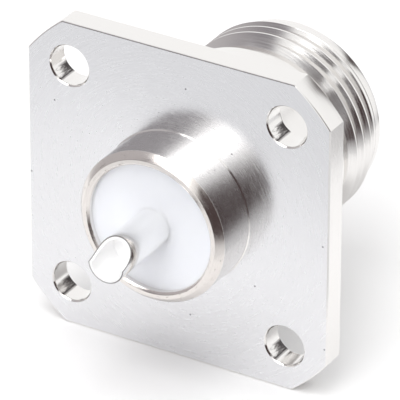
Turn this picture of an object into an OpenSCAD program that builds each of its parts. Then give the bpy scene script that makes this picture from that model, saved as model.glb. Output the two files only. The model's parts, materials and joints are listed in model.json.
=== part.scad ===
// N type coaxial panel jack: square flange, screw barrel, solder cup tail.
// The axis lies along Y. The mating end points to +Y and the solder cup to -Y.
// The origin is the centre of the flange's rear face, and +Z is up. All sizes are in millimetres.

/* [Flange] */
// Width of the square flange across its flats
flange_w = 25.4; // [24.4:0.1:26.4]
// Thickness of the flange
flange_t = 2; // [1.6:0.1:3]
// Diameter of the round bar that leaves the flange its curved corners
bar_d = 32; // [31:0.1:33.5]
// Distance between neighbouring mounting holes
hole_spacing = 18.26; // [17.8:0.02:18.6]
// Diameter of each mounting hole
hole_d = 3.2; // [2.8:0.1:3.6]
// Edge break round the flange and its holes
edge_break = 0.1; // [0.05:0.01:0.2]

/* [Rear spigot] */
// Outer diameter of the spigot
spigot_d = 12.2; // [11.8:0.1:13]
// Length of the spigot behind the flange
spigot_l = 4.05; // [3.5:0.05:6]
// Radial width of the chamfer round the rim
rim_chamfer_w = 0.5; // [0.2:0.05:0.6]
// Length of that chamfer along the axis
rim_chamfer_l = 0.55; // [0.2:0.05:0.8]
// Radius of the lip's inner edge
lip_round = 0.25; // [0.05:0.05:0.4]
// How far the rolled lip reaches in over the insulator
lip_reach = 0.12; // [0.05:0.01:0.25]
// Thickness of the rolled lip, which is how deep the insulator's face sits
lip_t = 0.55; // [0.3:0.05:0.9]

/* [Barrel] */
// Major diameter of the coupling thread
thread_d = 15.8; // [15.6:0.05:16]
// Threads in each inch
thread_tpi = 24; // [20:1:28]
// Length of the thread before its end chamfer
thread_l = 2.85; // [2:0.05:6]
// Diameter of the plain neck behind the thread
neck_d = 15.8; // [15.2:0.05:16]
// Length of the plain neck in front of the flange
neck_l = 8.95; // [7:0.05:12]
// Diameter at the bottom of the relief groove
relief_d = 14.6; // [13.8:0.1:15]
// Width of the relief groove between neck and thread
relief_l = 1.95; // [1:0.05:3]
// Diameter of the plain nose in front of the thread
nose_d = 14.7; // [14:0.1:15.2]
// Length of the nose
nose_l = 1.5; // [0.8:0.05:2.5]
// Chamfer on the nose's front edge
nose_chamfer = 0.35; // [0.1:0.05:0.6]

/* [Mating bore] */
// Diameter of the bore that takes the plug's sleeve
socket_d = 8.13; // [8:0.01:8.4]
// Depth of that bore, from the front face to the reference plane
socket_depth = 9.1; // [8:0.05:9.6]
// Chamfer at the mouth of the bore
mouth_chamfer = 0.5; // [0.2:0.05:0.9]
// Diameter of the line bore behind the reference plane
line_d = 7; // [6.4:0.05:7.4]

/* [Insulators] */
// Diameter of the rear insulator
rear_insulator_d = 10.44; // [9.8:0.02:10.7]
// Length of the rear insulator
rear_insulator_l = 4.3; // [3.7:0.05:5]
// Edge break on the insulators
insulator_break = 0.1; // [0.05:0.01:0.2]
// Diameter of the shoulder that holds the front insulator back
shoulder_d = 8.3; // [7.8:0.05:9]
// Length of that shoulder
shoulder_l = 1.6; // [1:0.05:2.5]
// Radial play of the insulators in the shell and round the contact
insulator_play = 0.03; // [0.01:0.01:0.06]

/* [Centre contact] */
// Diameter of the slotted socket end
contact_d = 3.04; // [2.8:0.02:3.2]
// Distance of the socket's tip behind the shell's front face
tip_recess = 5; // [4.2:0.05:5.6]
// Diameter of the bore that grips the plug's pin
pin_bore_d = 1.65; // [1.55:0.01:1.75]
// Depth of that bore
pin_bore_l = 5.2; // [4.4:0.05:6]
// Chamfer inside and outside the socket's tip
tip_chamfer = 0.2; // [0.1:0.05:0.3]
// Width of the slots between the spring fingers
slot_w = 0.35; // [0.2:0.01:0.5]
// Length of the slots
slot_l = 3.9; // [3:0.05:4.3]
// Number of spring fingers
fingers = 4; // [2:1:6]
// Diameter of the collar held between the insulators
collar_d = 4.4; // [3.8:0.1:5.4]
// Thickness of the collar
collar_t = 1; // [0.6:0.05:1.5]

/* [Solder cup] */
// Diameter of the tail and of the solder cup
tail_d = 2.94; // [2.8:0.02:3.1]
// Distance of the cup's tip behind the flange's rear face
cup_reach = 10; // [8.6:0.05:13]
// Diameter of the wire hole in the cup
cup_d = 2.4; // [2:0.05:2.5]
// Depth of the wire hole
cup_l = 3.1; // [2.4:0.05:4]
// Radius of the cutter that scoops the cup open
scoop_r = 2.6; // [1.6:0.05:4]
// Length of the scooped opening
scoop_l = 1.95; // [1.4:0.05:2.2]
// How far below half height the scoop starts at the cup's tip
scoop_drop = 0.1; // [0.05:0.05:0.6]

/* [Hidden] */
$fn = 96;
// Cutters reach this far past the faces they open
over = 0.5;

// Places along the axis, from the flange's rear face
flange_front = flange_t;
neck_end = flange_front + neck_l;
thread_start = neck_end + relief_l;
thread_end = thread_start + thread_l;
nose_start = thread_end + (thread_d - nose_d) / 2;
front_face = nose_start + nose_l;
reference_plane = front_face - socket_depth;
socket_tip = front_face - tip_recess;
spigot_end = -spigot_l;
rear_seat = spigot_end + lip_t;
front_seat = rear_seat + rear_insulator_l;
collar_end = front_seat + collar_t;
shoulder_end = collar_end + shoulder_l;
cup_tip = -cup_reach;

// Thread form: 60 degree flanks, an eighth of the pitch flat at the crest and a quarter at the root
pitch = 25.4 / thread_tpi;
crest_w = pitch / 8;
root_w = pitch / 4;
thread_h = (pitch - crest_w - root_w) / 2 / tan(30);
threads_cut = ceil(thread_l / pitch);

// Radii of the fits
lip_r = rear_insulator_d / 2 - lip_reach;
rear_bore_r = rear_insulator_d / 2 + insulator_play;
shoulder_bore_r = shoulder_d / 2 + insulator_play;

// The scoop's cutter meets the cup's tip scoop_drop below half height, and the top of the tail at scoop_l
scoop_h = tail_d / 2 + scoop_drop;
scoop_chord = norm([scoop_l, scoop_h]);
scoop_bow = sqrt(scoop_r * scoop_r - scoop_chord * scoop_chord / 4);
scoop_z = cup_tip + scoop_l / 2 - scoop_bow * scoop_h / scoop_chord;
scoop_up = scoop_h / 2 - scoop_drop + scoop_bow * scoop_l / scoop_chord;

// Corner arc from angle a0 to a1 round the point at c, in eight steps
function arc(c, r, a0, a1) = [for (i = [0 : 8]) c + r * [cos(a0 + (a1 - a0) * i / 8), sin(a0 + (a1 - a0) * i / 8)]];

// Turns what is built round Z until its axis lies along Y
module lay_down() {
    rotate([-90, 0, 0]) children();
}

// Straight bore of radius r between two places on the axis
module bore(r, from, to) {
    translate([0, 0, from]) cylinder(r = r, h = to - from);
}

// Chamfered plate edge, swept across the flange
module flange_slab() {
    w = flange_w / 2;
    b = edge_break;
    rotate([90, 0, 0])
        linear_extrude(height = bar_d, center = true)
            polygon([[-w, b], [b - w, 0], [w - b, 0], [w, b],
                     [w, flange_t - b], [w - b, flange_t], [b - w, flange_t], [-w, flange_t - b]]);
}

// Disc of bar whose rim is left at the flange's corners
module flange_disc() {
    r = bar_d / 2;
    b = edge_break;
    rotate_extrude()
        polygon([[0, 0], [r - b, 0], [r, b], [r, flange_t - b], [r - b, flange_t], [0, flange_t]]);
}

module mounting_hole() {
    bore(hole_d / 2, -over, flange_t + over);
    translate([0, 0, -over])
        cylinder(h = over + edge_break, r1 = hole_d / 2 + over + edge_break, r2 = hole_d / 2);
    translate([0, 0, flange_t - edge_break])
        cylinder(h = over + edge_break, r1 = hole_d / 2, r2 = hole_d / 2 + over + edge_break);
}

module flange() {
    difference() {
        intersection() {
            flange_slab();
            rotate([0, 0, 90]) flange_slab();
            flange_disc();
        }
        for (x = [-1, 1], y = [-1, 1])
            translate([x * hole_spacing / 2, y * hole_spacing / 2, 0]) mounting_hole();
    }
}

// Spigot with its chamfered rim and rolled lip, solid inside
module spigot() {
    r = spigot_d / 2;
    rotate_extrude()
        polygon(concat(
            [[0, spigot_end + lip_round], [0, edge_break], [r, edge_break],
             [r, spigot_end + rim_chamfer_l], [r - rim_chamfer_w, spigot_end]],
            arc([lip_r + lip_round, spigot_end + lip_round], lip_round, -90, -180)));
}

// Outline of the barrel before its grooves are cut, solid inside
module barrel_blank() {
    rotate_extrude()
        polygon([[0, edge_break], [neck_d / 2, edge_break], [neck_d / 2, neck_end],
                 [thread_d / 2, neck_end], [thread_d / 2, thread_end],
                 [nose_d / 2, nose_start], [nose_d / 2, front_face - nose_chamfer],
                 [nose_d / 2 - nose_chamfer, front_face], [0, front_face]]);
}

// One V groove of the thread, whose root lies between two crests
module thread_groove() {
    flank = tan(30);
    rotate_extrude()
        polygon([[thread_d / 2 - thread_h, -root_w / 2],
                 [thread_d / 2 + over, -root_w / 2 - (thread_h + over) * flank],
                 [thread_d / 2 + over, root_w / 2 + (thread_h + over) * flank],
                 [thread_d / 2 - thread_h, root_w / 2]]);
}

// Relief groove, square at the neck and sloped like a flank at the thread
module relief_groove() {
    outer = max(thread_d, neck_d) / 2 + over;
    rotate_extrude()
        polygon([[relief_d / 2, neck_end], [outer, neck_end],
                 [outer, thread_start + (outer - thread_d / 2) * tan(30)],
                 [relief_d / 2, thread_start - (thread_d - relief_d) / 2 * tan(30)]]);
}

// Everything that is bored out along the axis
module shell_bores() {
    bore(lip_r, spigot_end - over, rear_seat + over);
    bore(rear_bore_r, rear_seat, front_seat);
    bore(shoulder_bore_r, front_seat - over, shoulder_end);
    bore(line_d / 2, shoulder_end - over, reference_plane + over);
    bore(socket_d / 2, reference_plane, front_face + over);
    translate([0, 0, front_face - mouth_chamfer])
        cylinder(h = mouth_chamfer + over, r1 = socket_d / 2, r2 = socket_d / 2 + mouth_chamfer + over);
}

module shell() {
    color("lightgray") lay_down()
        difference() {
            union() {
                flange();
                spigot();
                barrel_blank();
            }
            relief_groove();
            for (i = [0 : threads_cut - 1])
                translate([0, 0, thread_start + crest_w / 2 + (i + 0.5) * pitch]) thread_groove();
            shell_bores();
        }
}

module rear_insulator() {
    r = rear_insulator_d / 2;
    b = insulator_break;
    color("white") lay_down()
        difference() {
            rotate_extrude()
                polygon([[0, rear_seat], [r - b, rear_seat], [r, rear_seat + b],
                         [r, front_seat - b], [r - b, front_seat], [0, front_seat]]);
            bore(tail_d / 2 + insulator_play, rear_seat - over, front_seat + over);
        }
}

module front_insulator() {
    shoulder_r = shoulder_d / 2;
    r = line_d / 2 - insulator_play;
    b = insulator_break;
    color("white") lay_down()
        difference() {
            rotate_extrude()
                polygon([[0, collar_end], [shoulder_r - b, collar_end], [shoulder_r, collar_end + b],
                         [shoulder_r, shoulder_end], [r, shoulder_end],
                         [r, reference_plane - b], [r - b, reference_plane], [0, reference_plane]]);
            bore(contact_d / 2 + insulator_play, collar_end - over, reference_plane + over);
        }
}

// Turned outline of the contact, from the cup's tip to the socket's tip
module contact_blank() {
    rotate_extrude()
        polygon([[0, cup_tip], [tail_d / 2, cup_tip], [tail_d / 2, front_seat],
                 [collar_d / 2, front_seat], [collar_d / 2, collar_end],
                 [contact_d / 2, collar_end], [contact_d / 2, socket_tip - tip_chamfer],
                 [contact_d / 2 - tip_chamfer, socket_tip], [0, socket_tip]]);
}

// Hole left by a 118 degree drill with a small chisel point, its mouth at the origin and its depth along +Z
module drilled(d, depth) {
    chisel_r = d / 20;
    bore(d / 2, -over, depth);
    translate([0, 0, depth]) cylinder(h = (d / 2 - chisel_r) / tan(59), r1 = d / 2, r2 = chisel_r);
}

module finger_slot() {
    translate([0, -slot_w / 2, socket_tip - slot_l]) cube([contact_d, slot_w, slot_l + over]);
}

module cup_scoop() {
    translate([0, -scoop_up, scoop_z]) rotate([0, 90, 0])
        cylinder(r = scoop_r, h = tail_d + 2 * over, center = true);
}

module centre_contact() {
    color("silver") lay_down()
        difference() {
            contact_blank();
            translate([0, 0, socket_tip]) rotate([180, 0, 0]) drilled(pin_bore_d, pin_bore_l);
            translate([0, 0, socket_tip - tip_chamfer])
                cylinder(h = tip_chamfer + over, r1 = pin_bore_d / 2, r2 = pin_bore_d / 2 + tip_chamfer + over);
            for (i = [0 : fingers - 1]) rotate([0, 0, (i + 0.5) * 360 / fingers]) finger_slot();
            translate([0, 0, cup_tip]) drilled(cup_d, cup_l);
            cup_scoop();
        }
}

shell();
rear_insulator();
front_insulator();
centre_contact();
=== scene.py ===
"""N type coaxial panel jack: plated brass shell, white insulators and a socket contact with a solder cup.

Every piece is modelled round the connector's axis, which lies along Y with the mating end at +Y.
"""

import json
import math

import bpy
from bpy.props import FloatProperty, FloatVectorProperty, IntProperty, PointerProperty
from mathutils import Matrix, Vector


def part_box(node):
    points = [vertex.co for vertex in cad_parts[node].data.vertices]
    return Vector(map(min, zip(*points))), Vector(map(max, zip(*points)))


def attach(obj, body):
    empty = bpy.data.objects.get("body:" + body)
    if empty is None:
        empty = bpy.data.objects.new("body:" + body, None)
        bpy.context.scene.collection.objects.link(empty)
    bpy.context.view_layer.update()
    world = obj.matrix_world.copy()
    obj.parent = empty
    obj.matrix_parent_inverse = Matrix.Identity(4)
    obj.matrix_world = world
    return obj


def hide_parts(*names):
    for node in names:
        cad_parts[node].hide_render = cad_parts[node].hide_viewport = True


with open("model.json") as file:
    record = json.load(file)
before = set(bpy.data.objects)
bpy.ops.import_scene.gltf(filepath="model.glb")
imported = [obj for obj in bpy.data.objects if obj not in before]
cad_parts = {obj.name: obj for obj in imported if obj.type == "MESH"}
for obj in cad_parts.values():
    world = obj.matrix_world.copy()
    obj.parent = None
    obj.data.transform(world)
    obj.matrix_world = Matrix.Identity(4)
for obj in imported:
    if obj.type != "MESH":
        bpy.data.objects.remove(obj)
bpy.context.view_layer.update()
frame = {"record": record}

bl_info = {
    "name": "N Type Panel Jack",
    "version": (1, 0, 0),
    "blender": (4, 5, 0),
    "location": "View3D > Sidebar > Panel Jack",
    "description": "Builds a square-flange coaxial panel jack on its packed CAD frame",
    "category": "Add Mesh",
}

MM = 0.001
# Pieces are modelled a thousand times up and brought down when they are done,
# because merging and bevelling lose features of a few hundredths of a millimetre
WORK = 1 / MM
AXIS_Y = (0, 1, 0)
# Roundings that sharp tools leave, from the spigot's rim to the mounting holes
RIM_ROUND, LIP_ROUND, CUP_ROUND, COLLAR_ROUND, HOLE_ROUND = (r * MM for r in (0.02, 0.03, 0.04, 0.05, 0.06))
# How far a cutter reaches past what it cuts
OVERSHOOT = 0.5 * MM
# Place of the thread's crest at angle 0, before its start is turned
CREST_AT_ZERO = 14.0 * MM
# Most of a noise texture's values lie between these
NOISE_LOW, NOISE_HIGH = 0.3, 0.7

MOUNTS = {mount["name"]: mount for mount in frame["record"]["mounts"]}
SHELL_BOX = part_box("shell")
REAR_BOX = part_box("rear_insulator")
FRONT_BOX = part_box("front_insulator")
CONTACT_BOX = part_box("centre_contact")


def mount_size(mount, size):
    """A size of one of the record's mounts, in metres."""
    return MOUNTS[mount]["dims"][size] * MM


# Places along the axis that the frame gives
SPIGOT_END = SHELL_BOX[0][1]
REAR_SEAT, FRONT_SEAT = REAR_BOX[0][1], REAR_BOX[1][1]
COLLAR_END, REFERENCE_PLANE = FRONT_BOX[0][1], FRONT_BOX[1][1]
NECK_MIDDLE = MOUNTS["barrel_neck"]["pos_m"][1]
NECK_HALF = mount_size("barrel_neck", "length_mm") / 2
FLANGE_FRONT, NECK_END = NECK_MIDDLE - NECK_HALF, NECK_MIDDLE + NECK_HALF
FRONT_FACE = SHELL_BOX[1][1]
CUP_TIP, SOCKET_TIP = CONTACT_BOX[0][1], CONTACT_BOX[1][1]


def length(name, default, about, low=0.0, high=1.0):
    """A length property, in metres."""
    return FloatProperty(name=name, description=about, default=default, min=low, max=high,
                         subtype="DISTANCE", unit="LENGTH", precision=5)


def colour(name, sheet_hex, about):
    """A colour property, given as on a colour sheet."""
    return FloatVectorProperty(name=name, description=about, default=linear(sheet_hex), size=4,
                               subtype="COLOR", min=0.0, max=1.0)


def linear(sheet_hex):
    """Linear RGBA of an sRGB hex colour."""
    parts = [int(sheet_hex[i:i + 2], 16) / 255 for i in (1, 3, 5)]
    return tuple(c / 12.92 if c <= 0.04045 else ((c + 0.055) / 1.055) ** 2.4 for c in parts) + (1.0,)


class JackShellSizes(bpy.types.PropertyGroup):
    """Sizes of the shell that the frame doesn't give."""
    bar_radius: length("Bar radius", 16 * MM, "Radius of the round bar that leaves the flange its corners")
    edge_break: length("Edge break", 0.11 * MM, "Width of the break round the flange and its holes")
    rim_width: length("Rim chamfer width", 0.5 * MM, "Radial width of the chamfer round the spigot's rim")
    rim_length: length("Rim chamfer length", 0.55 * MM, "Length of that chamfer along the axis")
    lip_reach: length("Lip reach", 0.12 * MM, "How far the rolled lip reaches over the insulator")
    lip_chamfer: length("Lip chamfer", 0.17 * MM, "Chamfer on the lip's inner edge")
    root_fillet: length("Root fillet", 0.09 * MM, "Size of the fillet where the spigot meets the flange")
    fit_play: length("Play", 0.03 * MM, "Radial play of the insulators in their bores")
    pitch: length("Thread pitch", 25.4 / 24 * MM, "Distance between neighbouring thread crests")
    relief_radius: length("Relief radius", 7.3 * MM, "Radius at the bottom of the relief groove")
    relief_width: length("Relief width", 1.95 * MM, "Width of the relief groove at the thread's crest")
    relief_round: length("Relief round", 0.2 * MM, "Radius in the relief groove's corners")
    nose_radius: length("Nose radius", 7.35 * MM, "Radius of the plain nose in front of the thread")
    nose_length: length("Nose length", 1.5 * MM, "Length of the plain nose")
    nose_chamfer: length("Nose chamfer", 0.35 * MM, "Chamfer on the nose's front edge")
    socket_radius: length("Socket radius", 4.065 * MM, "Radius of the mating bore")
    line_radius: length("Line radius", 3.5 * MM, "Radius of the line bore behind the reference plane")
    mouth_chamfer: length("Mouth chamfer", 0.5 * MM, "Chamfer at the mating bore's mouth")
    turned_break: length("Turned break", 0.05 * MM, "Edge break on turned corners")
    crest_angle: FloatProperty(name="Crest angle", description="Turns the thread's start round the axis",
                               default=math.radians(20), subtype="ANGLE")
    steps: IntProperty(name="Steps", description="Faces round the axis", default=288, min=48, max=512)


class JackContactSizes(bpy.types.PropertyGroup):
    """Sizes of the centre contact and the insulators that the frame doesn't give."""
    tail_radius: length("Tail radius", 1.47 * MM, "Radius of the tail and of the solder cup")
    contact_radius: length("Socket radius", 1.52 * MM, "Radius of the slotted socket end")
    socket_bore_depth: length("Socket bore depth", 5.2 * MM, "Depth of the bore that grips the plug's pin")
    tip_chamfer: length("Tip chamfer", 0.2 * MM, "Chamfers at the socket's tip")
    slot_width: length("Slot width", 0.35 * MM, "Width of the slots between the spring fingers")
    slot_length: length("Slot length", 3.9 * MM, "Length of the slots")
    fingers: IntProperty(name="Fingers", description="Number of spring fingers", default=4, min=2, max=6)
    scoop_radius: length("Scoop radius", 2.6 * MM, "Radius of the cutter that scoops the cup open")
    scoop_length: length("Scoop length", 1.95 * MM, "Length of the scooped opening")
    scoop_drop: length("Scoop drop", 0.1 * MM, "How far below half height the scoop starts")
    shoulder_length: length("Shoulder length", 1.6 * MM, "Length of the front insulator's shoulder")
    insulator_break: length("Insulator break", 0.1 * MM, "Edge break on the insulators")
    steps: IntProperty(name="Steps", description="Faces round the axis", default=144, min=24, max=360)


class JackFinishes(bpy.types.PropertyGroup):
    """Colours of the jack and its surroundings."""
    plate: colour("Shell plate", "#EAE8E6", "Bright plate on the turned shell")
    rim: colour("Rim", "#E4DFDB", "Worn plate on the spigot's rim")
    nick: colour("Nick", "#9A938C", "Nicks in the plate on the rim")
    speck: colour("Speck", "#8F8F92", "Sparse pinholes in the plate on the flange")
    ground_plate: colour("Faced plate", "#E9E9EB", "The same plate over the faced flange")
    # Painted shade in the mounting holes: a dark banded patch low on the left of each
    drilled_shade: colour("Drilled shade", "#575353", "Painted shade low in the holes, darker deeper in")
    contact_plate: colour("Contact plate", "#FAFAF9", "Silver plate on the centre contact")
    matt_silver: colour("Matt silver", "#FFFFFF", "Matt silver plate in the solder cup")
    # Painted shade along the solder cup's cut outer edge
    edge_shade: colour("Edge shade", "#8C8A89", "Burr along the solder cup's outer edge")
    insulator: colour("Insulator", "#F0F2F7", "White fluoropolymer of the insulators")
    floor: colour("Floor", "#FBFBFB", "Pale table under the jack")


class JackStudio(bpy.types.PropertyGroup):
    """Table and camera of the studio."""
    table_radius: length("Table radius", 50 * MM, "Radius of the round table")
    table_x: length("Table across", -20 * MM, "Sideways place of the table's middle", low=-1.0)
    table_y: length("Table along", 22 * MM, "Place of the table's middle along the axis", low=-1.0)
    lamp_distance: length("Lamp distance", 0.5, "Distance of the lamps from the jack", high=10.0)
    azimuth: FloatProperty(name="Azimuth", description="Camera's turn round the jack from straight behind",
                           default=math.radians(30.38), subtype="ANGLE")
    elevation: FloatProperty(name="Elevation", description="Camera's height above the horizon",
                             default=math.radians(29.51), subtype="ANGLE")
    roll: FloatProperty(name="Roll", description="Camera's roll", default=math.radians(0.15), subtype="ANGLE")
    distance: length("Distance", 380.8 * MM, "Camera's distance from the point it looks at", high=10.0)
    aim_x: length("Aim across", 1.957 * MM, "Sideways place of the point it looks at", low=-1.0)
    aim_z: length("Aim up", 1.084 * MM, "Height of the point it looks at", low=-1.0)
    lens: FloatProperty(name="Lens", description="Focal length of the camera", default=470.7,
                        subtype="DISTANCE_CAMERA", unit="CAMERA")


# ---------------------------------------------------------------- modelling

def deselect_all():
    """Leaves edit mode and selects nothing."""
    if bpy.context.object and bpy.context.object.mode != "OBJECT":
        bpy.ops.object.mode_set(mode="OBJECT")
    bpy.ops.object.select_all(action="DESELECT")


def only(piece):
    """Makes piece the active object and the only selected one."""
    deselect_all()
    piece.select_set(True)
    bpy.context.view_layer.objects.active = piece


def select_parts(piece, mode, wanted):
    """Selects the vertices, edges or faces of piece that wanted(element) accepts, and enters edit mode."""
    only(piece)
    bpy.ops.object.mode_set(mode="EDIT")
    bpy.ops.mesh.select_mode(type=mode)
    bpy.ops.mesh.select_all(action="DESELECT")
    bpy.ops.object.mode_set(mode="OBJECT")
    mesh = piece.data
    parts = {"VERT": mesh.vertices, "EDGE": mesh.edges, "FACE": mesh.polygons}[mode]
    found = 0
    for part in parts:
        part.select = bool(wanted(part))
        found += part.select
    bpy.ops.object.mode_set(mode="EDIT")
    return found


def turned(name, outline, steps):
    """Turns an outline of (radius, place, rounding) corners, in metres, round the connector's axis.

    An outline that starts and ends on the axis gives a solid; any other is closed into a ring.
    """
    deselect_all()
    corners = [(r * WORK, y * WORK, rounding * WORK) for r, y, rounding in outline]
    solid = corners[0][0] == 0 and corners[-1][0] == 0
    bpy.ops.mesh.primitive_plane_add(size=1, location=(corners[0][0], corners[0][1], 0))
    piece = bpy.context.object
    piece.name = piece.data.name = name
    bpy.ops.object.transform_apply(location=True, rotation=False, scale=False)
    bpy.ops.object.mode_set(mode="EDIT")
    bpy.ops.mesh.select_mode(type="VERT")
    bpy.ops.mesh.select_all(action="SELECT")
    bpy.ops.mesh.merge(type="CENTER")
    route = corners if solid else corners + corners[:1]
    for here, there in zip(route, route[1:]):
        step = (there[0] - here[0], there[1] - here[1], 0)
        bpy.ops.mesh.extrude_region_move(TRANSFORM_OT_translate={"value": step})
    bpy.ops.mesh.select_all(action="SELECT")
    bpy.ops.mesh.remove_doubles(threshold=1e-4)
    for rounding in sorted({c[2] for c in corners if c[2]}):
        places = [Vector((c[0], c[1], 0)) for c in corners if c[2] == rounding]
        select_parts(piece, "VERT", lambda v: any((v.co - p).length < 1e-3 for p in places))
        bpy.ops.mesh.bevel(offset=rounding, segments=3 if rounding < 0.1 else 8, affect="VERTICES")
    bpy.ops.mesh.select_all(action="SELECT")
    bpy.ops.mesh.spin(steps=steps, angle=2 * math.pi, center=(0, 0, 0), axis=AXIS_Y)
    bpy.ops.mesh.select_all(action="SELECT")
    bpy.ops.mesh.remove_doubles(threshold=1e-4)
    bpy.ops.mesh.normals_make_consistent(inside=False)
    bpy.ops.object.mode_set(mode="OBJECT")
    return piece


def merge_close(piece):
    """Merges the points that a cut left closer than a micrometre."""
    only(piece)
    bpy.ops.object.mode_set(mode="EDIT")
    bpy.ops.mesh.select_all(action="SELECT")
    bpy.ops.mesh.remove_doubles(threshold=1e-3)
    bpy.ops.object.mode_set(mode="OBJECT")


def combine(piece, other, operation):
    """Joins other to piece, or cuts it away, and deletes other."""
    only(piece)
    boolean = piece.modifiers.new("combine", "BOOLEAN")
    boolean.operation, boolean.object, boolean.solver = operation, other, "EXACT"
    bpy.ops.object.modifier_apply(modifier=boolean.name)
    only(other)
    bpy.ops.object.delete()
    merge_close(piece)


def copies(piece, moves):
    """One object that holds a copy of piece at each of the given matrices; piece itself goes."""
    made = []
    for move in moves:
        only(piece)
        bpy.ops.object.duplicate()
        copy = bpy.context.object
        copy.data.transform(move)
        made.append(copy)
    only(piece)
    bpy.ops.object.delete()
    for copy in made:
        copy.select_set(True)
    bpy.context.view_layer.objects.active = made[0]
    bpy.ops.object.join()
    return bpy.context.object


def finish_piece(piece, node, materials, choose):
    """Brings piece down to metres, shades it, gives each face its material and puts it on the frame."""
    only(piece)
    bpy.ops.transform.resize(value=(MM, MM, MM), center_override=(0, 0, 0))
    bpy.ops.object.transform_apply(location=True, rotation=True, scale=True)
    bpy.ops.object.shade_smooth_by_angle(angle=math.radians(20))
    for face in piece.data.polygons:
        # A face square to the axis is flat, and stays so beside a rounded edge
        face.use_smooth = abs(face.normal.y) < 0.9999
    normals = piece.modifiers.new("even_shading", "WEIGHTED_NORMAL")
    normals.keep_sharp = True
    bpy.ops.object.modifier_apply(modifier=normals.name)
    for material in materials:
        piece.data.materials.append(material)
    for face in piece.data.polygons:
        face.material_index = choose(face)
    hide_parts(node)
    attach(piece, "root")
    deselect_all()


# ---------------------------------------------------------------- materials

def add_node(tree, kind, values=None, links=None, **settings):
    """Adds a node with its settings, its socket values and the outputs that feed it."""
    node = tree.nodes.new(kind)
    for setting, value in settings.items():
        setattr(node, setting, value)
    for socket, value in (values or {}).items():
        node.inputs[socket].default_value = value
    for socket, source in (links or {}).items():
        tree.links.new(source, node.inputs[socket])
    return node


def new_material(name):
    """An empty node material with its shader, and the shader itself."""
    material = bpy.data.materials.new(name)
    material.use_nodes = True
    tree = material.node_tree
    tree.nodes.clear()
    shader = add_node(tree, "ShaderNodeBsdfPrincipled")
    add_node(tree, "ShaderNodeOutputMaterial", links={"Surface": shader.outputs["BSDF"]})
    return material, tree, shader


def ring_coordinates(tree):
    """Radius, place along the axis and angle round it, in millimetres and turns, as one vector."""
    place = add_node(tree, "ShaderNodeTexCoord").outputs["Object"]
    split = add_node(tree, "ShaderNodeSeparateXYZ", links={"Vector": place})
    x, y, z = (split.outputs[i] for i in ("X", "Y", "Z"))
    xx = add_node(tree, "ShaderNodeMath", links={0: x, 1: x}, operation="MULTIPLY")
    both = add_node(tree, "ShaderNodeMath", links={0: z, 1: z, 2: xx.outputs[0]}, operation="MULTIPLY_ADD")
    radius = add_node(tree, "ShaderNodeMath", links={0: both.outputs[0]}, operation="SQRT")
    angle = add_node(tree, "ShaderNodeMath", links={0: z, 1: x}, operation="ARCTAN2")
    joined = add_node(tree, "ShaderNodeCombineXYZ",
                      links={"X": radius.outputs[0], "Y": y, "Z": angle.outputs[0]})
    return add_node(tree, "ShaderNodeMapping", {"Scale": (1 / MM, 1 / MM, 1.0)},
                    {"Vector": joined.outputs[0]}).outputs[0]


def circles(tree, shader, anisotropy):
    """Lays the shader's grain in circles round the connector's axis."""
    shader.inputs["Anisotropic"].default_value = anisotropy
    grain = add_node(tree, "ShaderNodeTangent", direction_type="RADIAL", axis="Y")
    tree.links.new(grain.outputs[0], shader.inputs["Tangent"])


def smooth_ramp(tree, value, start, end):
    """Rises smoothly from 0 to 1 while value goes from start to end."""
    return add_node(tree, "ShaderNodeMapRange", {"From Min": start, "From Max": end}, {"Value": value},
                    interpolation_type="SMOOTHSTEP").outputs[0]


def shaded(tree, tint, noise, low):
    """The tint, darkened to the share low of itself where the noise is low."""
    tone = add_node(tree, "ShaderNodeMapRange", {
        "From Min": NOISE_LOW, "From Max": NOISE_HIGH, "To Min": low, "To Max": 1.0}, {"Value": noise})
    return add_node(tree, "ShaderNodeMix", {"Factor": 1.0, "A": tint}, {"B": tone.outputs[0]},
                    data_type="RGBA", blend_type="MULTIPLY").outputs["Result"]


def set_gloss(tree, shader, noise, low, high):
    """Lets the shader's roughness follow a noise between low and high."""
    gloss = add_node(tree, "ShaderNodeMapRange", {
        "From Min": NOISE_LOW, "From Max": NOISE_HIGH, "To Min": low, "To Max": high}, {"Value": noise})
    tree.links.new(gloss.outputs[0], shader.inputs["Roughness"])


def set_bump(tree, shader, height, strength, depth):
    """Roughens the surface with tool marks up to depth deep."""
    bump = add_node(tree, "ShaderNodeBump", {"Strength": strength, "Distance": depth}, {"Height": height})
    tree.links.new(bump.outputs[0], shader.inputs["Normal"])


def turned_plate(finishes):
    """Bright white-bronze plate over turned brass: mirror-like, with fine tool rings that streak it along the axis."""
    material, tree, shader = new_material("bright_plate_over_turned_brass")
    shader.inputs["Base Color"].default_value = finishes.plate
    shader.inputs["Metallic"].default_value = 1.0
    rings = ring_coordinates(tree)
    fine = add_node(tree, "ShaderNodeMapping", {"Scale": (9, 9, 1.2)}, {"Vector": rings})
    feed = add_node(tree, "ShaderNodeTexNoise", {"Scale": 1.0, "Detail": 3.0, "Roughness": 0.6},
                    {"Vector": fine.outputs[0]})
    set_gloss(tree, shader, feed.outputs[0], 0.10, 0.2)
    circles(tree, shader, 0.3)
    set_bump(tree, shader, feed.outputs[0], 0.6, 0.004 * MM)
    return material


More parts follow.
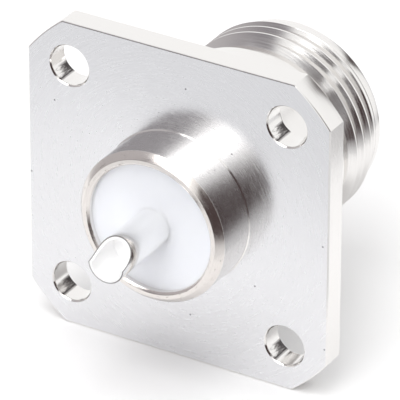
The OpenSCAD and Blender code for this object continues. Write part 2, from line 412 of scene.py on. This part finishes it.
def worn_plate(finishes):
    """The plate on the handled rim: slightly dulled and creamy, with fine nicks."""
    material, tree, shader = new_material("bright_plate_worn_on_the_rim")
    shader.inputs["Metallic"].default_value = 1.0
    rings = ring_coordinates(tree)
    drawn_out = add_node(tree, "ShaderNodeMapping", {"Scale": (5, 5, 9)}, {"Vector": rings})
    wear = add_node(tree, "ShaderNodeTexNoise", {"Scale": 1.0, "Detail": 5.0, "Roughness": 0.7},
                    {"Vector": drawn_out.outputs[0]})
    nicked = smooth_ramp(tree, wear.outputs[0], 0.60, 0.68)
    tint = add_node(tree, "ShaderNodeMix", {"A": finishes.rim, "B": finishes.nick}, {"Factor": nicked},
                    data_type="RGBA")
    tree.links.new(tint.outputs["Result"], shader.inputs["Base Color"])
    set_gloss(tree, shader, wear.outputs[0], 0.14, 0.3)
    set_bump(tree, shader, wear.outputs[0], 0.5, 0.01 * MM)
    return material


def faced_plate(finishes):
    """The same plate over the faced flange: satin, with short circular tool marks that smear reflections outwards."""
    material, tree, shader = new_material("satin_plate_over_faced_brass")
    shader.inputs["Metallic"].default_value = 1.0
    rings = ring_coordinates(tree)
    marks = add_node(tree, "ShaderNodeMapping", {"Scale": (6.5, 1, 7.0)}, {"Vector": rings})
    streak = add_node(tree, "ShaderNodeTexNoise", {"Scale": 1.0, "Detail": 4.0, "Roughness": 0.65},
                      {"Vector": marks.outputs[0]})
    tint = shaded(tree, finishes.ground_plate, streak.outputs[0], 0.94)
    place = add_node(tree, "ShaderNodeTexCoord").outputs["Object"]
    across = add_node(tree, "ShaderNodeMapping",
                      {"Rotation": (math.pi / 2, 0, 0), "Scale": (1 / MM, 1 / MM, 1 / MM)}, {"Vector": place})
    cells = add_node(tree, "ShaderNodeTexVoronoi", {"Scale": 0.13}, {"Vector": across.outputs[0]},
                     voronoi_dimensions="2D")
    # About one pinhole in every 8 mm, 0.07 mm in radius
    pinhole = smooth_ramp(tree, cells.outputs["Distance"], 0.011, 0.007)
    marked = add_node(tree, "ShaderNodeMix", {"B": finishes.speck},
                      {"Factor": pinhole, "A": tint}, data_type="RGBA")
    tree.links.new(marked.outputs["Result"], shader.inputs["Base Color"])
    set_gloss(tree, shader, streak.outputs[0], 0.2, 0.3)
    circles(tree, shader, 0.6)
    set_bump(tree, shader, streak.outputs[0], 0.3, 0.004 * MM)
    return material


def drilled_plate(finishes):
    """The same plate in the mounting holes, with painted shade: a dark banded patch low on the left of each hole,
    darker deeper in.
    """
    material, tree, shader = new_material("bright_plate_over_drilled_brass")
    shader.inputs["Metallic"].default_value = 1.0
    place = add_node(tree, "ShaderNodeTexCoord").outputs["Object"]
    split = add_node(tree, "ShaderNodeSeparateXYZ", links={"Vector": place})
    at = mount_size("flange_holes", "spacing_x_mm") / 2
    local = []
    for axis in ("X", "Z"):
        side = add_node(tree, "ShaderNodeMath", links={0: split.outputs[axis]}, operation="SIGN")
        local.append(add_node(tree, "ShaderNodeMath", {1: -at}, {0: side.outputs[0], 2: split.outputs[axis]},
                              operation="MULTIPLY_ADD").outputs[0])
    angle = add_node(tree, "ShaderNodeMath", links={0: local[1], 1: local[0]}, operation="ARCTAN2").outputs[0]

    def ramp(value, start, end):
        return smooth_ramp(tree, value, start, end)

    def math_node(operation, a, b):
        return add_node(tree, "ShaderNodeMath", links={0: a, 1: b}, operation=operation).outputs[0]

    # The patch's lower and upper ends round the hole, from straight right
    low, high = math.radians(-117), math.radians(-152)
    edge = math.radians(4)
    patch = math_node("MULTIPLY", ramp(angle, low + edge, low - edge), ramp(angle, high - edge, high + edge))
    # The painted shade grows deeper into the hole and towards the patch's lower end
    deep = math_node("MAXIMUM", ramp(split.outputs["Y"], 0.25 * FLANGE_FRONT, 0.8 * FLANGE_FRONT),
                     ramp(angle, math.radians(-130), math.radians(-120)))
    joined = add_node(tree, "ShaderNodeCombineXYZ", links={"X": angle, "Y": split.outputs["Y"]})
    banding_space = add_node(tree, "ShaderNodeMapping", {"Scale": (19, 1.7 / MM, 1)}, {"Vector": joined.outputs[0]})
    banding = add_node(tree, "ShaderNodeTexNoise", {"Scale": 1.0, "Detail": 3.0, "Roughness": 0.6},
                      {"Vector": banding_space.outputs[0]}).outputs[0]
    depth = math_node("ADD", math_node("MULTIPLY", deep, banding), banding)
    # Painted shade: the dark bands that fill the patch
    marks = math_node("MULTIPLY", patch, ramp(depth, 0.42, 1.0))
    bands = add_node(tree, "ShaderNodeMix", {"A": finishes.plate, "B": finishes.drilled_shade},
                     {"Factor": marks}, data_type="RGBA")
    tree.links.new(bands.outputs["Result"], shader.inputs["Base Color"])
    gloss = add_node(tree, "ShaderNodeMapRange", {"To Min": 0.16, "To Max": 0.35}, {"Value": marks})
    tree.links.new(gloss.outputs[0], shader.inputs["Roughness"])
    set_bump(tree, shader, banding, 0.3, 0.01 * MM)
    return material


def satin_silver(finishes):
    """Silver plate over the drilled cup: matt white silver, with painted shade along the cut's outer edge."""
    material, tree, shader = new_material("matt_silver_in_drilled_cup")
    # The plate's crystals are coarse enough here to scatter part of the light like white paint
    shader.inputs["Metallic"].default_value = 0.6
    rings = ring_coordinates(tree)
    radius = add_node(tree, "ShaderNodeSeparateXYZ", links={"Vector": rings}).outputs["X"]
    # Radii in millimetres between which the painted edge shade sets in
    edge_shade = smooth_ramp(tree, radius, 1.36, 1.41)
    tint = add_node(tree, "ShaderNodeMix", {"A": finishes.matt_silver, "B": finishes.edge_shade},
                    {"Factor": edge_shade}, data_type="RGBA")
    tree.links.new(tint.outputs["Result"], shader.inputs["Base Color"])
    fine = add_node(tree, "ShaderNodeMapping", {"Scale": (4, 6, 0.8)}, {"Vector": rings})
    cloud = add_node(tree, "ShaderNodeTexNoise", {"Scale": 1.0, "Detail": 2.0}, {"Vector": fine.outputs[0]})
    set_gloss(tree, shader, cloud.outputs[0], 0.65, 0.75)
    return material


def silver_plate(finishes):
    """Silver plate over a finely turned contact: nearly a mirror."""
    material, tree, shader = new_material("silver_plate_over_turned_alloy")
    shader.inputs["Base Color"].default_value = finishes.contact_plate
    shader.inputs["Metallic"].default_value = 1.0
    rings = ring_coordinates(tree)
    cloud = add_node(tree, "ShaderNodeTexNoise", {"Scale": 1.3, "Detail": 2.0}, {"Vector": rings})
    set_gloss(tree, shader, cloud.outputs[0], 0.05, 0.12)
    return material


def fluoropolymer(finishes):
    """PTFE turned from bar: dense bluish white, slightly waxy and translucent."""
    material, tree, shader = new_material("turned_ptfe")
    place = add_node(tree, "ShaderNodeTexCoord").outputs["Object"]
    spread = add_node(tree, "ShaderNodeMapping", {"Scale": (1 / MM, 1 / MM, 1 / MM)}, {"Vector": place})
    cloud = add_node(tree, "ShaderNodeTexNoise", {"Scale": 0.5, "Detail": 2.0}, {"Vector": spread.outputs[0]})
    tint = shaded(tree, finishes.insulator, cloud.outputs[0], 0.975)
    tree.links.new(tint, shader.inputs["Base Color"])
    shader.inputs["Roughness"].default_value = 0.42
    shader.inputs["IOR"].default_value = 1.36
    shader.inputs["Subsurface Weight"].default_value = 0.25
    shader.inputs["Subsurface Scale"].default_value = 0.4 * MM
    shader.inputs["Subsurface Radius"].default_value = (1.0, 1.0, 1.1)
    return material


# ---------------------------------------------------------------- pieces

def flange_slab(s, turn):
    """Plate as wide as the flange and longer than it, with its two long edges broken, turned round the axis."""
    deselect_all()
    width, depth = (SHELL_BOX[1][0] - SHELL_BOX[0][0]) * WORK, FLANGE_FRONT * WORK
    bpy.ops.mesh.primitive_cube_add(size=1, location=(0, depth / 2, 0), scale=(width, depth, 1.6 * width))
    slab = bpy.context.object
    bpy.ops.object.transform_apply(location=True, rotation=True, scale=True)
    points = slab.data.vertices
    select_parts(slab, "EDGE", lambda e: abs(points[e.vertices[0]].co.z - points[e.vertices[1]].co.z) > width)
    bpy.ops.mesh.bevel(offset=s.edge_break * WORK, segments=2, affect="EDGES")
    bpy.ops.object.mode_set(mode="OBJECT")
    slab.data.transform(Matrix.Rotation(turn, 4, "Y"))
    return slab


def flange_plate(s):
    """The flange: a disc of bar milled square, with its holes and a core left open for the body, in working size."""
    bar, b, over = s.bar_radius, s.edge_break, OVERSHOOT
    plate = turned("flange", [(0, 0, 0), (bar, 0, b), (bar, FLANGE_FRONT, b), (0, FLANGE_FRONT, 0)], 480)
    for turn in (0, math.pi / 2):
        combine(plate, flange_slab(s, turn), "INTERSECT")
    r = mount_size("flange_holes", "hole_r_mm")
    drill = turned("hole_drill", [
        (0, -over, 0), (r + b + over, -over, 0), (r, b, HOLE_ROUND), (r, FLANGE_FRONT - b, HOLE_ROUND),
        (r + b + over, FLANGE_FRONT + over, 0), (0, FLANGE_FRONT + over, 0)], 96)
    at = mount_size("flange_holes", "spacing_x_mm") / 2 * WORK
    drills = copies(drill, [Matrix.Translation((x * at, 0, z * at)) for x in (-1, 1) for z in (-1, 1)])
    combine(plate, drills, "DIFFERENCE")
    core_r = mount_size("panel_pilot", "r_mm") - 0.4 * MM
    combine(plate, turned("core", [
        (0, -over, 0), (core_r, -over, 0), (core_r, FLANGE_FRONT + over, 0), (0, FLANGE_FRONT + over, 0)], 96),
        "DIFFERENCE")
    return plate


def thread_cutter(s):
    """Helical V groove, a quarter of the pitch wide at its root, from the relief to the nose."""
    pitch = s.pitch * WORK
    flank = math.tan(math.radians(30))
    crest = mount_size("barrel_neck", "r_mm") * WORK
    root_half = pitch / 8
    depth = (pitch - pitch / 8 - pitch / 4) / 2 / flank
    # Less than this and the groove's turns would meet outside the thread
    over = 0.08
    # The groove runs half a pitch beside the crest, and starts half a turn before the mark at angle 0
    crest_at_zero = CREST_AT_ZERO * WORK + pitch * math.degrees(s.crest_angle) / 360
    start = crest_at_zero - 2 * pitch
    deselect_all()
    bpy.ops.mesh.primitive_plane_add(size=1)
    cutter = bpy.context.object
    cutter.name = cutter.data.name = "thread_cutter"
    outer_half = root_half + (depth + over) * flank
    places = {(-1, -1): (crest - depth, -root_half), (1, -1): (crest + over, -outer_half),
              (-1, 1): (crest - depth, root_half), (1, 1): (crest + over, outer_half)}
    for point in cutter.data.vertices:
        r, y = places[(round(math.copysign(1, point.co.x)), round(math.copysign(1, point.co.y)))]
        point.co = (-r, start + y, 0)
    helix = cutter.modifiers.new("helix", "SCREW")
    helix.axis, helix.angle, helix.iterations = "Y", 2 * math.pi, 5
    helix.screw_offset, helix.steps, helix.render_steps = pitch, s.steps // 2, s.steps // 2
    helix.use_merge_vertices = helix.use_smooth_shade = False
    only(cutter)
    bpy.ops.object.modifier_apply(modifier=helix.name)
    bpy.ops.object.mode_set(mode="EDIT")
    bpy.ops.mesh.select_mode(type="EDGE")
    bpy.ops.mesh.select_all(action="DESELECT")
    bpy.ops.mesh.select_non_manifold()
    bpy.ops.mesh.edge_face_add()
    bpy.ops.mesh.select_all(action="SELECT")
    bpy.ops.mesh.normals_make_consistent(inside=False)
    bpy.ops.object.mode_set(mode="OBJECT")
    return cutter


def shell_body(s, c):
    """Spigot, barrel and bores as one ring, in working size."""
    spigot_r = mount_size("panel_pilot", "r_mm")
    barrel_r = mount_size("barrel_neck", "r_mm")
    insulator_r, shoulder_r = REAR_BOX[1][0], FRONT_BOX[1][0]
    lip_r = insulator_r - s.lip_reach
    shoulder_end = COLLAR_END + c.shoulder_length
    thread_start = NECK_END + s.relief_width
    nose_start = FRONT_FACE - s.nose_length
    thread_end = nose_start - (barrel_r - s.nose_radius)
    slope = (barrel_r - s.relief_radius) * math.tan(math.radians(30))
    b, middle = s.turned_break, FLANGE_FRONT / 2
    return turned("shell", [
        (lip_r, REAR_SEAT, 0), (lip_r, SPIGOT_END + s.lip_chamfer, LIP_ROUND),
        (lip_r + s.lip_chamfer, SPIGOT_END, LIP_ROUND), (spigot_r - s.rim_width, SPIGOT_END, LIP_ROUND),
        (spigot_r, SPIGOT_END + s.rim_length, RIM_ROUND),
        (spigot_r, -s.root_fillet, 0), (spigot_r + 1.25 * s.root_fillet, s.root_fillet / 4, 0),
        (spigot_r + 1.25 * s.root_fillet, middle, 0), (barrel_r, middle, 0), (barrel_r, NECK_END, b),
        (s.relief_radius, NECK_END, s.relief_round), (s.relief_radius, thread_start - slope, 0),
        (barrel_r, thread_start, 0), (barrel_r, thread_end, 0), (s.nose_radius, nose_start, 0),
        (s.nose_radius, FRONT_FACE - s.nose_chamfer, b), (s.nose_radius - s.nose_chamfer, FRONT_FACE, b),
        (s.socket_radius + s.mouth_chamfer, FRONT_FACE, b),
        (s.socket_radius, FRONT_FACE - s.mouth_chamfer, b), (s.socket_radius, REFERENCE_PLANE, 0),
        (s.line_radius, REFERENCE_PLANE, b), (s.line_radius, shoulder_end, 0),
        (shoulder_r + s.fit_play, shoulder_end, 0), (shoulder_r + s.fit_play, FRONT_SEAT, 0),
        (insulator_r + s.fit_play, FRONT_SEAT, 0), (insulator_r + s.fit_play, REAR_SEAT, 0)], s.steps)


class PANELJACK_OT_shell(bpy.types.Operator):
    """Builds the shell: faced flange, spigot with its rolled rim, and screw barrel"""
    bl_idname = "panel_jack.shell"
    bl_label = "Shell"

    def execute(self, context):
        s, finishes = context.scene.jack_shell, context.scene.jack_finishes
        body = shell_body(s, context.scene.jack_contact)
        combine(body, thread_cutter(s), "DIFFERENCE")
        combine(body, flange_plate(s), "UNION")
        at, hole = mount_size("flange_holes", "spacing_x_mm") / 2, mount_size("flange_holes", "hole_r_mm")
        lip_r = REAR_BOX[1][0] - s.lip_reach

        # Slots: 0 turned, 1 faced, 2 drilled and 3 worn plate
        def choose(face):
            place = face.center
            if place.y < SPIGOT_END + s.rim_length - 0.02 * MM and math.hypot(place.x, place.z) > lip_r:
                return 3
            if not -0.001 * MM < place.y < FLANGE_FRONT + 0.001 * MM:
                return 0
            if abs(face.normal.y) > 0.99:
                return 1 if math.hypot(place.x, place.z) > mount_size("panel_pilot", "r_mm") else 0
            in_hole = math.hypot(abs(place.x) - at, abs(place.z) - at) < hole + 0.05 * MM
            return 2 if in_hole else 0

        finish_piece(body, "shell", [turned_plate(finishes), faced_plate(finishes), drilled_plate(finishes),
                                     worn_plate(finishes)], choose)
        return {"FINISHED"}


class PANELJACK_OT_insulators(bpy.types.Operator):
    """Builds the two insulators that hold the centre contact"""
    bl_idname = "panel_jack.insulators"
    bl_label = "Insulators"

    def execute(self, context):
        s, c = context.scene.jack_shell, context.scene.jack_contact
        material = fluoropolymer(context.scene.jack_finishes)
        r, b, tail_r = REAR_BOX[1][0], c.insulator_break, c.tail_radius
        rear = turned("rear_insulator_disc", [
            (tail_r, REAR_SEAT, 0), (r, REAR_SEAT, b), (r, FRONT_SEAT, b), (tail_r, FRONT_SEAT, 0)], s.steps)
        finish_piece(rear, "rear_insulator", [material], lambda face: 0)
        r, line_r, bore_r = FRONT_BOX[1][0], s.line_radius - s.fit_play, c.contact_radius + s.fit_play
        shoulder_end = COLLAR_END + c.shoulder_length
        front = turned("front_insulator_bush", [
            (bore_r, COLLAR_END, 0), (r, COLLAR_END, b), (r, shoulder_end, 0), (line_r, shoulder_end, 0),
            (line_r, REFERENCE_PLANE, b), (bore_r, REFERENCE_PLANE, LIP_ROUND)], c.steps)
        finish_piece(front, "front_insulator", [material], lambda face: 0)
        return {"FINISHED"}


def drilled_hole(name, r, mouth, bottom, steps):
    """Cutter for a hole drilled from mouth to bottom, with a 118 degree point."""
    over = math.copysign(OVERSHOOT, mouth - bottom)
    point = math.copysign(r / math.tan(math.radians(59)), bottom - mouth)
    return turned(name, [(0, mouth + over, 0), (r, mouth + over, 0), (r, bottom, 0), (0, bottom + point, 0)], steps)


class PANELJACK_OT_centre_contact(bpy.types.Operator):
    """Builds the centre contact: slotted socket, collar, tail and scooped solder cup"""
    bl_idname = "panel_jack.centre_contact"
    bl_label = "Centre contact"

    def execute(self, context):
        c, finishes = context.scene.jack_contact, context.scene.jack_finishes
        collar_r = CONTACT_BOX[1][0]
        pin_r, cup_r = mount_size("contact_socket", "r_mm"), mount_size("solder_cup", "r_mm")
        body = turned("contact", [
            (0, CUP_TIP, 0), (c.tail_radius, CUP_TIP, CUP_ROUND), (c.tail_radius, FRONT_SEAT, 0),
            (collar_r, FRONT_SEAT, COLLAR_ROUND), (collar_r, COLLAR_END, COLLAR_ROUND),
            (c.contact_radius, COLLAR_END, 0),
            (c.contact_radius, SOCKET_TIP - c.tip_chamfer, LIP_ROUND),
            (c.contact_radius - c.tip_chamfer, SOCKET_TIP, LIP_ROUND), (0, SOCKET_TIP, 0)], c.steps)
        combine(body, drilled_hole("pin_drill", pin_r, SOCKET_TIP, SOCKET_TIP - c.socket_bore_depth, c.steps),
                "DIFFERENCE")
        combine(body, drilled_hole("cup_drill", cup_r, CUP_TIP, CUP_TIP + mount_size("solder_cup", "length_mm"),
                                   c.steps), "DIFFERENCE")
        for i in range(c.fingers):
            deselect_all()
            turn = (i + 0.5) * 2 * math.pi / c.fingers
            size = Vector((3, (c.slot_length + OVERSHOOT) * WORK, c.slot_width * WORK))
            bpy.ops.mesh.primitive_cube_add(size=1, rotation=(0, -turn, 0), scale=size, location=(
                1.5 * math.cos(turn), (SOCKET_TIP - c.slot_length) * WORK + size.y / 2, 1.5 * math.sin(turn)))
            combine(body, bpy.context.object, "DIFFERENCE")
        deselect_all()
        # The scoop's cutter meets the cup's tip below half height and the top of the tail at scoop_length
        rise = c.tail_radius + c.scoop_drop
        chord = math.hypot(c.scoop_length, rise)
        bow = math.sqrt(c.scoop_radius ** 2 - chord ** 2 / 4)
        scoop_y = CUP_TIP + c.scoop_length / 2 - bow * rise / chord
        scoop_z = rise / 2 - c.scoop_drop + bow * c.scoop_length / chord
        bpy.ops.mesh.primitive_cylinder_add(vertices=288, radius=c.scoop_radius * WORK, depth=5,
                                            location=(0, scoop_y * WORK, scoop_z * WORK),
                                            rotation=(0, math.pi / 2, 0))
        combine(body, bpy.context.object, "DIFFERENCE")
        cup_bottom = CUP_TIP + mount_size("solder_cup", "length_mm")

        def choose(face):
            out = math.hypot(face.center.x, face.center.z)
            outside = out > c.tail_radius - 0.005 * MM or face.center.y > cup_bottom + 1 * MM
            return 0 if outside else 1

        finish_piece(body, "centre_contact", [silver_plate(finishes), satin_silver(finishes)], choose)
        return {"FINISHED"}


# ---------------------------------------------------------------- stage

def studio_world():
    """Soft light from a pale room with a grey wall on the left and dark openings on the right and behind the jack."""
    world = bpy.data.worlds.new("studio")
    bpy.context.scene.world = world
    world.use_nodes = True
    tree = world.node_tree
    tree.nodes.clear()
    direction = add_node(tree, "ShaderNodeTexCoord").outputs["Generated"]
    split = add_node(tree, "ShaderNodeSeparateXYZ", links={"Vector": direction})
    back = add_node(tree, "ShaderNodeMath", {1: -1.0}, {0: split.outputs["Y"]}, operation="MULTIPLY")
    azimuth = add_node(tree, "ShaderNodeMath", links={0: split.outputs["X"], 1: back.outputs[0]},
                       operation="ARCTAN2").outputs[0]
    elevation = add_node(tree, "ShaderNodeMath", links={0: split.outputs["Z"]}, operation="ARCSINE").outputs[0]

    def ramp(value, start, end):
        return smooth_ramp(tree, value, math.radians(start), math.radians(end))

    def both(a, b):
        return add_node(tree, "ShaderNodeMath", links={0: a, 1: b}, operation="MULTIPLY").outputs[0]

    # The doorway's near side leans: it stands at 21 degrees at the horizon and at 34 degrees 25 degrees up
    lean = add_node(tree, "ShaderNodeMath", {1: -0.6}, {0: elevation, 2: azimuth}, operation="MULTIPLY_ADD").outputs[0]
    doorway = both(both(ramp(lean, 18, 25), ramp(azimuth, 105, 85)), ramp(elevation, 48, 36))
    doorway = both(doorway, ramp(elevation, -29, -15))
    left_wall = both(ramp(azimuth, -17, -25), ramp(azimuth, -120, -95))
    wall = add_node(tree, "ShaderNodeMix", {"A": ROOM["wall_near"], "B": ROOM["wall_far"]},
                    {"Factor": ramp(azimuth, -28, -65)}, data_type="RGBA").outputs["Result"]
    room = add_node(tree, "ShaderNodeMix", {"A": ROOM["window_side"]}, {"Factor": left_wall, "B": wall},
                    data_type="RGBA").outputs["Result"]
    # A second dark opening behind the jack, that only the flange's front face and the relief see
    behind = both(ramp(azimuth, 151, 154), ramp(elevation, 31, 26))
    dark = add_node(tree, "ShaderNodeMath", links={0: doorway, 1: behind}, operation="MAXIMUM")
    room = add_node(tree, "ShaderNodeMix", {"B": ROOM["ground"]},
                    {"Factor": ramp(elevation, -12, -18), "A": room}, data_type="RGBA").outputs["Result"]
    room = add_node(tree, "ShaderNodeMix", {"B": ROOM["opening"]}, {"Factor": dark.outputs[0], "A": room},
                    data_type="RGBA").outputs["Result"]
    reflected = add_node(tree, "ShaderNodeBackground", {"Strength": 1.1}, {"Color": room})
    seen = add_node(tree, "ShaderNodeBackground", {"Color": (1, 1, 1, 1), "Strength": 1.0})
    path = add_node(tree, "ShaderNodeLightPath")
    mixed = add_node(tree, "ShaderNodeMixShader", links={
        0: path.outputs["Is Camera Ray"], 1: reflected.outputs[0], 2: seen.outputs[0]})
    add_node(tree, "ShaderNodeOutputWorld", links={"Surface": mixed.outputs[0]})


# Azimuth and elevation in degrees, width and height in metres, watts, and whether the bright metal shows it.
# The fill lights only what is matt, because in the metal it would look like a second window.
SOFTBOXES = {
    "key_softbox": (8, 42, 0.24, 0.26, 0.3, True),
    "top_softbox": (-5, 70, 0.34, 0.26, 0.9, True),
    "front_fill": (-5, 8, 0.2, 0.2, 0.35, False),
}
# Linear colours of the room round the jack
ROOM = {
    "window_side": (1.0, 1.0, 1.0, 1),
    "wall_near": (0.255, 0.24, 0.255, 1),
    "wall_far": (0.50, 0.48, 0.49, 1),
    "ground": (0.80, 0.80, 0.81, 1),
    "opening": (0.06, 0.04, 0.04, 1),
}


def softbox(name, azimuth, elevation, distance, width, height, watts):
    """A rectangular area lamp that faces the jack; it shows in the metal and not to the camera."""
    a, e = math.radians(azimuth), math.radians(elevation)
    towards = Vector((math.sin(a) * math.cos(e), -math.cos(a) * math.cos(e), math.sin(e)))
    deselect_all()
    bpy.ops.object.light_add(type="AREA", location=towards * distance)
    lamp = bpy.context.object
    lamp.name = name
    lamp.rotation_euler = towards.to_track_quat("Z", "Y").to_euler()
    lamp.data.shape, lamp.data.size, lamp.data.size_y, lamp.data.energy = "RECTANGLE", width, height, watts
    lamp.visible_camera = False
    return lamp


class PANELJACK_OT_stage(bpy.types.Operator):
    """Sets the pale table, the soft light and the camera"""
    bl_idname = "panel_jack.stage"
    bl_label = "Stage"

    def execute(self, context):
        studio, finishes = context.scene.jack_studio, context.scene.jack_finishes
        deselect_all()
        floor_z = SHELL_BOX[0][2]
        bpy.ops.mesh.primitive_circle_add(vertices=96, radius=studio.table_radius, fill_type="NGON",
                                          location=(studio.table_x, studio.table_y, floor_z))
        table = bpy.context.object
        table.name = "pale_table"
        material, tree, shader = new_material("matt_white_table")
        shader.inputs["Base Color"].default_value = finishes.floor
        shader.inputs["Roughness"].default_value = 0.6
        table.data.materials.append(material)
        studio_world()
        for name, (azimuth, elevation, width, height, watts, in_metal) in SOFTBOXES.items():
            lamp = softbox(name, azimuth, elevation, studio.lamp_distance, width, height, watts)
            lamp.visible_glossy = in_metal
        a, e = studio.azimuth, studio.elevation
        back = Vector((math.sin(a) * math.cos(e), -math.cos(a) * math.cos(e), math.sin(e)))
        aim = Vector((studio.aim_x, 0, studio.aim_z))
        deselect_all()
        bpy.ops.object.camera_add(location=aim + back * studio.distance)
        camera = bpy.context.object
        turn = (-back).to_track_quat("-Z", "Y").to_matrix() @ Matrix.Rotation(studio.roll, 3, "Z")
        camera.rotation_euler = turn.to_euler()
        camera.data.sensor_width = 36
        camera.data.lens = studio.lens
        camera.data.clip_start, camera.data.clip_end = 0.01, 10
        context.scene.camera = camera
        context.scene.view_settings.view_transform = "Standard"
        return {"FINISHED"}


class PANELJACK_PT_pieces(bpy.types.Panel):
    """Lists the jack's pieces in the sidebar"""
    bl_label = "Panel Jack"
    bl_idname = "PANELJACK_PT_pieces"
    bl_space_type = "VIEW_3D"
    bl_region_type = "UI"
    bl_category = "Panel Jack"

    def draw(self, context):
        for operator in OPERATORS:
            self.layout.operator(operator.bl_idname)


GROUPS = {"jack_shell": JackShellSizes, "jack_contact": JackContactSizes,
          "jack_finishes": JackFinishes, "jack_studio": JackStudio}
OPERATORS = (PANELJACK_OT_shell, PANELJACK_OT_insulators, PANELJACK_OT_centre_contact, PANELJACK_OT_stage)


def register():
    for group in GROUPS.values():
        bpy.utils.register_class(group)
    for name, group in GROUPS.items():
        setattr(bpy.types.Scene, name, PointerProperty(type=group))
    for operator in OPERATORS:
        bpy.utils.register_class(operator)
    bpy.utils.register_class(PANELJACK_PT_pieces)


def unregister():
    bpy.utils.unregister_class(PANELJACK_PT_pieces)
    for operator in reversed(OPERATORS):
        bpy.utils.unregister_class(operator)
    for name, group in GROUPS.items():
        delattr(bpy.types.Scene, name)
        bpy.utils.unregister_class(group)


def main():
    register()
    bpy.ops.panel_jack.shell()
    bpy.ops.panel_jack.insulators()
    bpy.ops.panel_jack.centre_contact()
    bpy.ops.panel_jack.stage()


if __name__ == "__main__":
    main()
